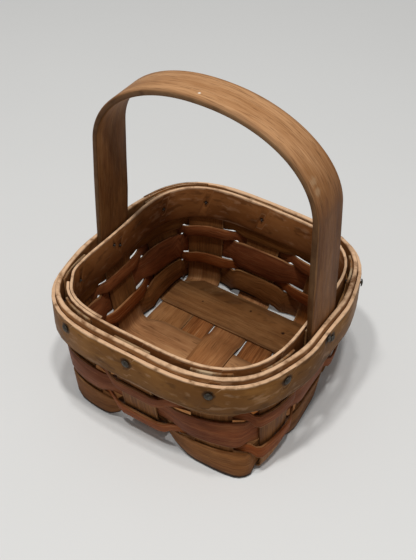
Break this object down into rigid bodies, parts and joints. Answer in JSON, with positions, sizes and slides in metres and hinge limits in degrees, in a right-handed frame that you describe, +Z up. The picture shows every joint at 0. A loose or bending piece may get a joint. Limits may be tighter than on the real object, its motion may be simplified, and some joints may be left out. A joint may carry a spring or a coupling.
{
  "type": "splint berry basket",
  "caption": "Small square woven splint basket with upright boards, in-and-out weavers, tacked rim bands and a fixed bent wooden handle.",
  "frame": {"origin": "centre of the bounding box on the surface that the basket stands on", "axes": "+X from left to right along the front wall, which is also the way the handle spans; +Y from front to back; +Z up"},
  "size_m": [0.1343, 0.1324, 0.17],
  "materials": {
    "natural_splint": "stained matte splint with open grain",
    "warm_splint": "stained matte splint with open grain",
    "red_splint": "reddish stained matte splint",
    "band_wood": "stained satin wood",
    "handle_wood": "stained satin wood, worn lighter on top",
    "tack_metal": "dull oxidised heads"
  },
  "bodies": {
    "root": {"band_tack_1": "tack_metal", "band_tack_10": "tack_metal", "band_tack_2": "tack_metal", "band_tack_3": "tack_metal", "band_tack_4": "tack_metal", "band_tack_5": "tack_metal", "band_tack_6": "tack_metal", "band_tack_7": "tack_metal", "band_tack_8": "tack_metal", "band_tack_9": "tack_metal", "cross_board_back": "natural_splint", "cross_board_front": "natural_splint", "cross_board_middle": "natural_splint", "floor_filler_left": "red_splint", "floor_filler_right": "red_splint", "handle": "handle_wood", "handle_nail_1": "tack_metal", "handle_nail_2": "tack_metal", "handle_nail_3": "tack_metal", "handle_nail_4": "tack_metal", "long_board_left": "warm_splint", "long_board_middle": "warm_splint", "long_board_right": "warm_splint", "rim_face_band": "band_wood", "rim_inner_band": "band_wood", "rim_outer_band": "band_wood", "weaver_bottom_wide": "natural_splint", "weaver_lower_narrow": "red_splint", "weaver_middle_wide": "red_splint", "weaver_top_wide": "natural_splint", "weaver_upper_narrow": "red_splint"}
  },
  "joints": []
}
